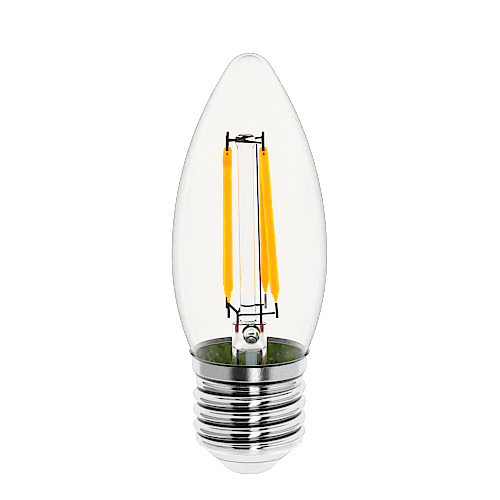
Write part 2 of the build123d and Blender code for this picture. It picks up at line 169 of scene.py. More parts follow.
class Effects:
    """Node groups that several finishes share, each built once."""

    WIDE_SCALE = 0.22
    WIDE_SHARE = 0.35
    SPECK_LEVEL = 0.7
    SPECK_EDGE = 9.0
    MARK_STRETCH = 0.45
    MARK_RANGE = (0.32, 0.72)

    def __init__(self) -> None:
        """Starts with no group."""
        self.made: dict[str, bpy.types.NodeTree] = {}

    def shared(
        self,
        graph: Graph,
        name: str,
        values: Mapping[str, float],
        outputs: Iterable[str],
        draw: Callable[[Graph, Any, Any], None],
    ) -> Any:
        """Places a group in a material, and builds it where it isn't there yet.

        Args:
            graph: The material's tree.
            name: The group's name.
            values: Its inputs, with the values that they have here.
            outputs: Its outputs.
            draw: Places the nodes between the group's input and output nodes.

        Returns:
            The placed group's outputs.
        """
        if name not in self.made:
            tree = bpy.data.node_groups.new(name, "ShaderNodeTree")
            for key in values:
                tree.interface.new_socket(key, in_out="INPUT", socket_type="NodeSocketFloat")
            for key in outputs:
                tree.interface.new_socket(key, in_out="OUTPUT", socket_type="NodeSocketFloat")
            group = Graph(tree)
            draw(group, group.add("NodeGroupInput").outputs, group.add("NodeGroupOutput").inputs)
            self.made[name] = tree
        return graph.add("Group", values, node_tree=self.made[name]).outputs

    def grain(self, graph: Graph, scale: float, specks: float = 0.2) -> Any:
        """Places fine grains.

        Args:
            graph: The material's tree.
            scale: Grains in a metre.
            specks: How many of them stand out, from 0 to 1.

        Returns:
            The outputs: Value, which is about 0.5, and Specks, a mask.
        """

        def draw(group: Graph, given: Any, put: Any) -> None:
            """Places two sizes of noise, and cuts specks out of the finer one.

            Args:
                group: The group's tree.
                given: The group's inputs.
                put: The group's outputs.
            """
            place = group.add("TexCoord").outputs["Object"]
            finer = {"Vector": place, "Scale": given["Scale"], "Detail": 3.0, "Roughness": 0.6}
            wider = {"Vector": place, "Scale": group.times(given["Scale"], self.WIDE_SCALE), "Detail": 2.0}
            fine, wide = (group.add("TexNoise", inputs).outputs[0] for inputs in (finer, wider))
            rest = group.times(fine, 1 - self.WIDE_SHARE)
            group.feed(put["Value"], group.math("MULTIPLY_ADD", wide, self.WIDE_SHARE, rest))
            start = group.times(group.math("SUBTRACT", 1.0, given["Specks"]), self.SPECK_LEVEL)
            over = group.math("SUBTRACT", fine, start)
            group.feed(put["Specks"], group.math("MULTIPLY", over, self.SPECK_EDGE, clamp=True))

        return self.shared(graph, "fine_grain", {"Scale": scale, "Specks": specks}, ("Value", "Specks"), draw)

    def marks(self, graph: Graph, scale: float) -> Socket:
        """Places wide soft marks, as handling or uneven polish leaves them.

        Args:
            graph: The material's tree.
            scale: Marks in a metre.

        Returns:
            The marks, from 0 to 1.
        """

        def draw(group: Graph, given: Any, put: Any) -> None:
            """Places one wide noise, stretched up the lamp.

            Args:
                group: The group's tree.
                given: The group's inputs.
                put: The group's outputs.
            """
            place = group.add("TexCoord").outputs["Object"]
            stretch = (1.0, 1.0, self.MARK_STRETCH)
            tall = group.add("Mapping", {"Vector": place, "Scale": stretch}).outputs[0]
            inputs = {"Vector": tall, "Scale": given["Scale"], "Detail": 4.0, "Distortion": 0.6}
            group.feed(put["Value"], group.ease(group.add("TexNoise", inputs).outputs[0], *self.MARK_RANGE))

        return self.shared(graph, "soft_marks", {"Scale": scale}, ("Value",), draw)["Value"]

    def band(self, graph: Graph, band: Band) -> Socket:
        """Places a mask that is 1 between two heights on the lamp.

        Args:
            graph: The material's tree.
            band: The lower height, the upper height and the softness of both borders.

        Returns:
            The mask.
        """

        def draw(group: Graph, given: Any, put: Any) -> None:
            """Compares the height with both borders.

            Args:
                group: The group's tree.
                given: The group's inputs.
                put: The group's outputs.
            """
            height = group.place()["Z"]
            gaps = group.math("SUBTRACT", height, given["Low"]), group.math("SUBTRACT", given["High"], height)
            ends = (group.math("DIVIDE", gap, given["Soft"]) for gap in gaps)
            group.feed(put["Mask"], group.times(*(group.math("ADD", end, 0.5, clamp=True) for end in ends)))

        values = {key: size * MM for key, size in zip(("Low", "High", "Soft"), band)}
        return self.shared(graph, "height_band", values, ("Mask",), draw)["Mask"]


EFFECTS = Effects()


# Finishes


@dataclass(frozen=True)
class Finish:
    """A look that pieces can wear."""

    name: str

    def inputs(self, graph: Graph) -> dict[str, Any]:
        """Works out the shader's inputs, and gives values and sockets by their names."""
        raise NotImplementedError

    def draw(self, graph: Graph) -> Socket:
        """Places the finish's shader and gives its output."""
        return graph.add("BsdfPrincipled", self.inputs(graph)).outputs[0]

    def material(self) -> bpy.types.Material:
        """Makes the material, or gives the one that is there.

        Returns:
            The material.
        """
        if self.name in bpy.data.materials:
            return bpy.data.materials[self.name]
        material = bpy.data.materials.new(self.name)
        material.use_nodes = True
        graph = Graph(material.node_tree)
        graph.add("OutputMaterial", {"Surface": self.draw(graph)})
        return material


@dataclass(frozen=True)
class GlassFinish(Finish):
    """Clear glass with a painted dark shade line where it is seen edge on, and a painted pale glow and dark
    crescent on a press.
    """

    body: Color = (1.0, 1.0, 1.0)
    # Colour and facing range of the painted shade line where the glass is seen edge on.
    line: Color = (0.25, 0.25, 0.26)
    edge_shade_start: float = 0.72
    edge_shade_end: float = 0.92
    edge_shade_share: float = 0.0
    waves: float = 0.0
    wave_scale: float = 90.0
    wave_depth: float = 0.2
    bending: float = 1.5
    gleam: float = 1.0
    # Share, colour and heights of a painted glow, pale light that the glass emits.
    painted_glow: float = 0.0
    painted_glow_color: Color = (0.72, 0.78, 0.86)
    painted_glow_foot: float = 0.0
    painted_glow_top: float = 100.0
    painted_glow_soft: float = 0.8
    hole: Point = (0.0, 0.0)
    hole_reach: float = 0.0
    hole_edge: float = 0.85
    # Share, reach and colour of a painted dark crescent below the hole.
    crescent: float = 0.85
    crescent_inner: Point = (0.42, 0.54)
    crescent_outer: Point = (0.80, 0.95)
    crescent_top: Point = (0.4, 0.1)
    painted_crescent_color: Color = (0.05, 0.09, 0.06)
    passing: Color = (0.95, 0.95, 0.95)

    def draw(self, graph: Graph) -> Socket:
        """Places a refracting shader for views and a clear one for light that reaches what is inside.

        Args:
            graph: The material's empty tree.

        Returns:
            The shader's output.
        """
        tint = (self.gleam, self.gleam, self.gleam)
        inputs = {"Base Color": self.body, "Roughness": 0.0, "IOR": self.bending, "Transmission Weight": 1.0}
        glass = graph.add("BsdfPrincipled", {**inputs, "Specular Tint": tint})
        if self.waves:
            marks = EFFECTS.marks(graph, self.wave_scale)
            graph.feed(glass.inputs["Normal"], graph.bump(marks, self.waves, self.wave_depth * MM))
        shader = glass.outputs[0]
        # Painted shade: a dark tint mixed in where the glass is seen edge on.
        if self.edge_shade_share:
            facing = graph.add("LayerWeight", {"Blend": 0.5}).outputs["Facing"]
            edge = graph.ease(facing, self.edge_shade_start, self.edge_shade_end, 0.0, self.edge_shade_share)
            shader = graph.blend(edge, shader, graph.clear(self.line))
        # Painted light: a pale emission mixed in between two heights.
        if self.painted_glow:
            shader = self.paint_glow_and_crescent(graph, shader)
        path = graph.add("LightPath").outputs
        straight = graph.math("MAXIMUM", path["Is Shadow Ray"], path["Is Diffuse Ray"])
        return graph.blend(straight, shader, graph.clear(self.passing))

    def paint_glow_and_crescent(self, graph: Graph, shader: Socket) -> Socket:
        """Mixes in the painted glow, pale emitted light between two heights, and a painted dark crescent
        below a pressed hole.

        Args:
            graph: The material's tree.
            shader: The plain glass.

        Returns:
            The mixed shader.
        """
        place = graph.place()
        foot, top, soft = (size * MM for size in (self.painted_glow_foot, self.painted_glow_top, self.painted_glow_soft))
        rise = graph.ease(place["Z"], foot, foot + soft, 0.0, self.painted_glow)
        share = graph.times(rise, graph.ease(place["Z"], top - soft, top, 1.0, 0.0))
        if self.hole_reach:
            reach, middle = self.hole_reach * MM, self.hole[1] * MM
            sideways = graph.math("SUBTRACT", place["X"], self.hole[0] * MM)
            away = graph.length(sideways, graph.math("SUBTRACT", place["Z"], middle))
            share = graph.times(share, graph.ease(away, self.hole_edge * reach, reach))
            # Painted dark crescent below the hole, standing in for the cement seen through it.
            inner = graph.ease(away, *(part * reach for part in self.crescent_inner))
            outer = graph.ease(away, *(part * reach for part in self.crescent_outer), 1.0, 0.0)
            ends = (middle - part * reach for part in self.crescent_top)
            lower = graph.ease(place["Z"], *ends, self.crescent, 0.0)
            ring = graph.times(graph.times(inner, outer), lower)
            shader = graph.blend(ring, shader, graph.clear(self.painted_crescent_color))
        # The painted glow is emitted light.
        pale = graph.add("Emission", {"Color": self.painted_glow_color}).outputs[0]
        return graph.blend(share, shader, pale)


@dataclass(frozen=True)
class PlatedFinish(Finish):
    """Nickel plate: bright on the rolled thread, satin on the collar and the bowl, with painted shade in the
    thread's roots, the crease, the mouth's seam and under the lip.
    """

    color: Color = (0.80, 0.80, 0.81)
    speck_color: Color = (0.576, 0.576, 0.5832)
    speck_share: float = 0.5
    bright: float = 0.025
    satin: float = 0.16
    uneven: float = 0.02
    mark_scale: float = 160.0
    grain_scale: float = 2600.0
    grain_specks: float = 0.25
    grain_strength: float = 0.8
    grain_depth: float = 0.04
    collar_band: Band = (23.0, 40.0, 0.6)
    bowl_band: Band = (-1.0, 8.4, 0.3)
    bowl_metal: float = 0.3
    bowl_color: Color = (0.68, 0.68, 0.68)
    # Bands and colours of painted shade: the thread's roots, the crease, the mouth's seam and the lip's
    # underside.
    thread_band: Band = (8.9, 21.2, 0.5)
    root_radius: float = 12.01
    flank_radius: float = 12.16
    root_shade: Color = (0.07, 0.07, 0.075)
    crease_band: Band = (23.3, 24.2, 0.3)
    seam_band: Band = (4.1, 4.5, 0.1)
    seam_shade: Color = (0.24, 0.24, 0.25)
    lip_band: Band = (27.55, 100.0, 0.1)
    lip_tilt: Point = (-0.5, -0.25)
    lip_shade: Color = (0.012, 0.012, 0.014)

    def inputs(self, graph: Graph) -> dict[str, Any]:
        """Places the metal with a grainy collar and bowl.

        Args:
            graph: The material's empty tree.

        Returns:
            Values and sockets by the input's name.
        """
        bowl = EFFECTS.band(graph, self.bowl_band)
        satin = graph.math("MAXIMUM", EFFECTS.band(graph, self.collar_band), bowl)
        grain = EFFECTS.grain(graph, self.grain_scale, self.grain_specks)
        marks = EFFECTS.marks(graph, self.mark_scale)
        rough = graph.math("MULTIPLY_ADD", satin, self.satin - self.bright, self.bright)
        rough = graph.math("MULTIPLY_ADD", marks, self.uneven, rough)
        specks = graph.times(graph.times(grain["Specks"], satin), self.speck_share)
        color = graph.mix(specks, self.color, self.speck_color)
        color = graph.mix(bowl, color, self.bowl_color)
        place = graph.place()
        away = graph.length(place["X"], place["Y"])
        root = graph.ease(away, self.root_radius * MM, self.flank_radius * MM, 1.0, 0.0)
        tilt = graph.add("SeparateXYZ", {"Vector": graph.add("NewGeometry").outputs["Normal"]}).outputs["Z"]
        under = graph.ease(tilt, *self.lip_tilt, 1.0, 0.0)
        # Painted shade, mixed in by masks: dark roots, seam, crease and lip underside.
        for mask, shade in (
            (graph.times(root, EFFECTS.band(graph, self.thread_band)), self.root_shade),
            (EFFECTS.band(graph, self.seam_band), self.seam_shade),
            (EFFECTS.band(graph, self.crease_band), self.root_shade),
            (graph.times(under, EFFECTS.band(graph, self.lip_band)), self.lip_shade),
        ):
            color = graph.mix(mask, color, shade)
        rise = graph.times(graph.math("SUBTRACT", grain["Value"], 0.5), satin)
        return {
            "Base Color": color,
            "Metallic": graph.math("MULTIPLY_ADD", bowl, self.bowl_metal - 1.0, 1.0),
            "Roughness": rough,
            "Normal": graph.bump(rise, self.grain_strength, self.grain_depth * MM),
        }


@dataclass(frozen=True)
class PlasticFinish(Finish):
    """Moulded plastic with a fine surface."""

    color: Color
    rough: float = 0.45
    glow: float = 0.0
    glow_reach: float = 2.0
    grain_scale: float = 2500.0
    grain_strength: float = 0.08
    grain_depth: float = 0.05
    mark_scale: float = 140.0
    mark_shade: float = 0.94
    mark_rough: float = 0.12

    def inputs(self, graph: Graph) -> dict[str, Any]:
        """Places the plastic with soft marks and a faint grain.

        Args:
            graph: The material's empty tree.

        Returns:
            Values and sockets by the input's name.
        """
        marks = EFFECTS.marks(graph, self.mark_scale)
        grain = EFFECTS.grain(graph, self.grain_scale)["Value"]
        inputs = {
            "Base Color": graph.mix(marks, self.color, tuple(self.mark_shade * c for c in self.color)),
            "Roughness": graph.math("MULTIPLY_ADD", marks, self.mark_rough, self.rough - self.mark_rough / 2),
            "Normal": graph.bump(grain, self.grain_strength, self.grain_depth * MM),
        }
        if self.glow:
            inputs["Subsurface Weight"] = self.glow
            inputs["Subsurface Radius"] = (self.glow_reach * MM,) * 3
        return inputs


@dataclass(frozen=True)
class PasteFinish(Finish):
    """Set paste, grainy, with darker and paler grains."""

    color: Color
    dark: Color
    pale: Color
    rough: float = 0.85
    gloss: float = 0.05
    mark_scale: float = 260.0
    mark_share: float = 0.6
    dark_scale: float = 900.0
    dark_specks: float = 0.24
    dark_share: float = 0.9
    pale_scale: float = 1250.0
    pale_specks: float = 0.17
    pale_share: float = 0.8
    grain_strength: float = 0.7
    grain_depth: float = 0.3

    def inputs(self, graph: Graph) -> dict[str, Any]:
        """Places the paste in three colours with a rough surface.

        Args:
            graph: The material's empty tree.

        Returns:
            Values and sockets by the input's name.
        """
        coarse = EFFECTS.grain(graph, self.dark_scale, self.dark_specks)
        fine = EFFECTS.grain(graph, self.pale_scale, self.pale_specks)
        marks = EFFECTS.marks(graph, self.mark_scale)
        color = graph.mix(graph.times(marks, self.mark_share), self.color, self.dark)
        color = graph.mix(graph.times(coarse["Specks"], self.dark_share), color, self.dark)
        color = graph.mix(graph.times(fine["Specks"], self.pale_share), color, self.pale)
        return {
            "Base Color": color,
            "Roughness": self.rough,
            "Specular IOR Level": self.gloss,
            "Normal": graph.bump(coarse["Value"], self.grain_strength, self.grain_depth * MM),
        }


@dataclass(frozen=True)
class PhosphorFinish(Finish):
    """Phosphor in clear silicone: yellow at the sides, orange over the row of chips."""

    side: Color = (1.0, 0.50, 0.0)
    middle: Color = (1.0, 0.32, 0.0)
    deep: Color = (0.95, 0.17, 0.0)
    pin: Color = (0.10, 0.02, 0.01)
    middle_end: float = 0.35
    side_start: float = 0.95
    uneven: float = 0.5
    mark_scale: float = 420.0
    mark_share: float = 0.25
    grain_scale: float = 1500.0
    grain_strength: float = 0.25
    grain_depth: float = 0.1
    rough: float = 0.38
    gloss: float = 0.05
    glow: float = 0.45

    def inputs(self, graph: Graph) -> dict[str, Any]:
        """Places the silicone's colours by how far a point lies from the row of chips.

        Args:
            graph: The material's empty tree.

        Returns:
            Values and sockets by the input's name.
        """
        across, strip, stain = (graph.stored(name) for name in Filaments.STORED)
        grain = EFFECTS.grain(graph, self.grain_scale)["Value"]
        marks = EFFECTS.marks(graph, self.mark_scale)
        wide = graph.math("ADD", across, graph.math("MULTIPLY_ADD", grain, self.uneven, -self.uneven / 2))
        color = graph.mix(graph.ease(wide, self.middle_end, self.side_start), self.middle, self.side)
        color = graph.mix(graph.times(marks, self.mark_share), color, self.deep)
        color = graph.mix(graph.times(stain, grain), color, self.deep)
        color = graph.mix(strip, color, self.pin)
        return {
            "Base Color": color,
            "Roughness": self.rough,
            "Emission Color": color,
            "Emission Strength": self.glow,
            "Specular IOR Level": self.gloss,
            "Normal": graph.bump(grain, self.grain_strength, self.grain_depth * MM),
        }


@dataclass(frozen=True)
class WireFinish(Finish):
    """Drawn metal, dulled by heat."""

    color: Color
    dull: Color
    rough: float = 0.4
    metallic: float = 1.0
    gloss: float = 0.5
    mark_scale: float = 600.0
    grain_scale: float = 5000.0
    grain_rough: float = 0.25
    grain_middle: float = 0.48
    grain_strength: float = 0.2
    grain_depth: float = 0.03

    def inputs(self, graph: Graph) -> dict[str, Any]:
        """Places the metal with uneven dulling and fine marks.

        Args:
            graph: The material's empty tree.

        Returns:
            Values and sockets by the input's name.
        """
        marks = EFFECTS.marks(graph, self.mark_scale)
        grain = EFFECTS.grain(graph, self.grain_scale)["Value"]
        smoothest = self.rough - self.grain_rough * self.grain_middle
        return {
            "Base Color": graph.mix(marks, self.color, self.dull),
            "Roughness": graph.math("MULTIPLY_ADD", grain, self.grain_rough, smoothest),
            "Normal": graph.bump(grain, self.grain_strength, self.grain_depth * MM),
            "Metallic": self.metallic,
            "Specular IOR Level": self.gloss,
        }


@dataclass(frozen=True)
class DarkWireFinish(WireFinish):
    """Drawn metal under a dark skin that hides its shine."""

    rough: float = 0.45
    metallic: float = 0.0
    gloss: float = 0.25


@dataclass(frozen=True)
class FloorFinish(Finish):
    """A pale floor in full light."""

    color: Color = (0.9, 0.9, 0.9)
    light: Color = (1.0, 1.0, 1.0)
    rough: float = 0.9

    def inputs(self, graph: Graph) -> dict[str, Any]:
        """Gives a pale surface that is bright all over."""
        surface = {"Base Color": self.color, "Roughness": self.rough}
        return {**surface, "Emission Color": self.light, "Emission Strength": 1.0}


# Meshes


class Winding(Enum):
    """How a row of rings ends."""

    OPEN = "open"
    LOOPED = "looped"


def mesh_object(name: str, mesh: bmesh.types.BMesh, sharp: float = 35.0) -> bpy.types.Object:
    """Makes a smooth object of a finished mesh.

    Args:
        name: The object's name.
        mesh: Its mesh, in millimetres, which is freed.
        sharp: Angle in degrees from which an edge stays sharp.

    Returns:
        The linked object, in metres.
    """
    bmesh.ops.scale(mesh, vec=(MM, MM, MM), verts=mesh.verts)
    bmesh.ops.recalc_face_normals(mesh, faces=mesh.faces)
    for face in mesh.faces:
        face.smooth = True
    data = bpy.data.meshes.new(name)
    mesh.to_mesh(data)
    mesh.free()
    data.set_sharp_from_angle(angle=math.radians(sharp))
    made = bpy.data.objects.new(name, data)
    bpy.context.scene.collection.objects.link(made)
    return made


def skin(mesh: bmesh.types.BMesh, rings: Sequence[Ring], winding: Winding) -> list[list[bmesh.types.BMVert]]:
    """Joins rings of points with faces.

    Args:
        mesh: The mesh that takes them.
        rings: Rings of the same number of points, or of one point at a pole.
        winding: How the row of rings ends.

    Returns:
        The new vertices, ring by ring.
    """
    rows = [[mesh.verts.new(point) for point in ring] for ring in rings]
    pairs = list(zip(rows, rows[1:]))
    if winding is Winding.LOOPED:
        pairs.append((rows[-1], rows[0]))
    for low, high in pairs:
        count = max(len(low), len(high))
        for i in range(count):
            j = (i + 1) % count
            if len(low) == 1:
                mesh.faces.new((low[0], high[j], high[i]))
            elif len(high) == 1:
                mesh.faces.new((low[i], low[j], high[0]))
            else:
                mesh.faces.new((low[i], low[j], high[j], high[i]))
    return rows


def circle(radius: float, height: float, count: int, centre: Point = (0.0, 0.0)) -> list[Vector]:
    """Points of a level circle, or its centre alone where it has no radius.

    Args:
        radius: Its radius.
        height: Where it lies.
        count: Number of points.
        centre: Its centre's X and Y.

    Returns:
        The points.
    """
    if radius < POLE:
        return [Vector((*centre, height))]
    x, y = centre
    turns = (2 * math.pi * i / count for i in range(count))
    return [Vector((x + radius * math.cos(t), y + radius * math.sin(t), height)) for t in turns]


def slot(half_width: float, half_depth: float, height: float, count: int) -> list[Vector]:
    """Points of a level slot with round ends, evenly spaced along its line.

    Args:
        half_width: Half its width along X.
        half_depth: Half its depth along Y, and the radius of its ends.
        height: Where it lies.
        count: Number of points.

    Returns:
        The points, from the right end round to the back.
    """
    flat, quarter = half_width - half_depth, math.pi * half_depth / 2
    half = 2 * (flat + quarter)
    points = []
    for i in range(count):
        side, along = divmod(2 * half * i / count, half)
        if along < quarter:
            x, y = flat + half_depth * math.cos(along / half_depth), half_depth * math.sin(along / half_depth)
        elif along < quarter + 2 * flat:
            x, y = flat - (along - quarter), half_depth
        else:
            turn = math.pi / 2 + (along - quarter - 2 * flat) / half_depth
            x, y = -flat + half_depth * math.cos(turn), half_depth * math.sin(turn)
        sign = -1.0 if side else 1.0
        points.append(Vector((sign * x, sign * y, height)))
    return points


def lathe(
    name: str,
    profile: Sequence[Point],
    winding: Winding,
    count: int = 160,
    sharp: float = 35.0,
    lean: Point = (0.0, 0.0),
) -> bpy.types.Object:
    """Turns a profile round the lamp's axis or round a line beside it.

    Args:
        name: The object's name.
        profile: Radius and height of each point, in order.
        winding: How the profile ends.
        count: Points round the axis.
        sharp: Angle in degrees from which an edge stays sharp.
        lean: The line's X at height 0, and how much X changes for each millimetre up.

    Returns:
        The new object.
    """
    mesh = bmesh.new()
    rings = [circle(radius, height, count, (lean[0] + lean[1] * height, 0.0)) for radius, height in profile]
    skin(mesh, rings, winding)
    return mesh_object(name, mesh, sharp)


def arc(centre: Point, radius: float, start: float, end: float, count: int) -> list[Point]:
    """Points of an arc, from one angle to another in degrees, both ends included."""
    turns = (math.radians(start + (end - start) * i / count) for i in range(count + 1))
    return [(centre[0] + radius * math.cos(t), centre[1] + radius * math.sin(t)) for t in turns]


def rounded(points: Sequence[Point], radius: float, count: int = 5) -> list[Point]:
    """A run of points with its inner corners rounded.

    Args:
        points: The corners, with plain ends.
        radius: Reach of each round, less where a side is short.
        count: Steps in each round.

    Returns:
        The points of the rounded run.
    """
    run = [points[0]]
    for before, here, after in zip(points, points[1:], points[2:]):
        corner = Vector(here)
        back, ahead = Vector(before) - corner, Vector(after) - corner
        reach = min(radius, SIDE_SHARE * back.length, SIDE_SHARE * ahead.length)
        start, end = corner + back.normalized() * reach, corner + ahead.normalized() * reach
        for i in range(count + 1):
            t = i / count
            place = start * (1 - t) ** 2 + corner * 2 * t * (1 - t) + end * t**2
            run.append((place.x, place.y))
    return [*run, points[-1]]


def clamped(share: float) -> float:
    """A share kept between 0 and 1."""
    return max(0.0, min(1.0, share))


def smooth(share: float) -> float:
    """A share from 0 to 1 that starts and ends softly."""
    return share * share * (3 - 2 * share)


# The lamp's sub-assemblies


@dataclass
class SubAssembly:
    """Pieces of the lamp that are built and dressed together."""

    pieces: list[bpy.types.Object] = field(default_factory=list, init=False)

    def build(self) -> None:
        """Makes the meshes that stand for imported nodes."""

    def dress(self) -> None:
        """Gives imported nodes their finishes."""

    def adopt(self, piece: bpy.types.Object, slot: str, finish: Finish, *nodes: str) -> None:
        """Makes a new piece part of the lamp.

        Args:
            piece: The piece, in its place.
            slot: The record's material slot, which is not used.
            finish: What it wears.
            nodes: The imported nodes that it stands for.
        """
        piece.data.materials.clear()
        piece.data.materials.append(finish.material())
        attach(piece, BODY)
        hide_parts(*nodes)
        self.pieces.append(piece)

    def wear(self, finish: Finish, *nodes: str) -> None:
        """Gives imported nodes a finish.

        Args:
            finish: What they wear.
            nodes: Their names.
        """
        for name in nodes:
            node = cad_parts[name]
            node.data.materials.clear()
            node.data.materials.append(finish.material())
            self.pieces.append(node)


@dataclass
class Envelope(SubAssembly):
    """The blown candle-shaped glass."""

    overall_length: float = 96.8
    bulb_diameter: float = 35.5
    belly: float = 50.3
    tip_radius: float = 5.5
    wall: float = 0.7
    rim_height: float = 28.4
    glass_at_rim: float = 13.35
    neck_radius: float = 11.2
    neck_drop: float = 5.1
    neck_blend: float = 9.0
    neck_end: float = 17.3
    turn_points: int = 192
    tip_steps: int = 24
    crown_steps: int = 60
    waist_steps: int = 36
    neck_steps: int = 12
    sharp: float = 80.0
    # The outside paints a dark shade line where the glass is seen edge on.
    outside: GlassFinish = GlassFinish(
        "clear_blown_glass",
        (0.962, 0.956, 0.943),
        edge_shade_start=0.45,
        edge_shade_end=0.95,
        edge_shade_share=0.30,
        waves=0.02,
        gleam=0.02,
    )
    inside: GlassFinish = GlassFinish("clear_blown_glass_inside", (0.962, 0.956, 0.943), gleam=0.02)

    def section(self, inset: float) -> list[Point]:
        """The wall's line from the tip down to the neck's end.

        Args:
            inset: How far it lies inside the outer wall.

        Returns:
            Radius and height of each point.
        """
        wide = self.bulb_diameter / 2
        rise = self.overall_length - self.tip_radius - self.belly
        crown = (wide**2 + rise**2 - self.tip_radius**2) / (2 * (wide - self.tip_radius))
        sag, drop = wide - self.glass_at_rim, self.belly - self.rim_height
        waist = (drop**2 + sag**2) / (2 * sag)
        crown_turn = math.degrees(math.atan2(rise, crown - wide))
        waist_turn = math.degrees(math.asin(drop / waist))
        line = arc((0.0, self.belly + rise), self.tip_radius - inset, 90, crown_turn, self.tip_steps)
        line += arc((wide - crown, self.belly), crown - inset, crown_turn, 0, self.crown_steps)[1:]
        line += arc((wide - waist, self.belly), waist - inset, 0, -waist_turn, self.waist_steps)[1:]
        turn = math.atan2(self.glass_at_rim - self.neck_radius, self.neck_drop)
        blend = self.neck_blend + inset
        corner = self.rim_height - self.neck_drop + inset * math.tan(turn / 2)
        foot = corner - blend * math.tan(turn / 2)
        neck = (self.neck_radius - inset + blend, foot)
        line += arc(neck, blend, 180 - math.degrees(turn), 180, self.neck_steps)
        return [(0.0, line[0][1]), *line[1:], (self.neck_radius - inset, self.neck_end)]

    def build(self) -> None:
        """Turns the wall's outer and inner lines into one skin with a finish for each face."""
        outer, inner = self.section(0.0), self.section(self.wall)
        line = [*outer, *reversed(inner)]
        glass = lathe("blown_envelope", line, Winding.OPEN, self.turn_points, self.sharp)
        self.adopt(glass, "clear_glass", self.outside, "glass_envelope")
        glass.data.materials.append(self.inside.material())
        outer_faces = self.turn_points * len(outer)
        for face in glass.data.polygons:
            face.material_index = int(face.index >= outer_faces)


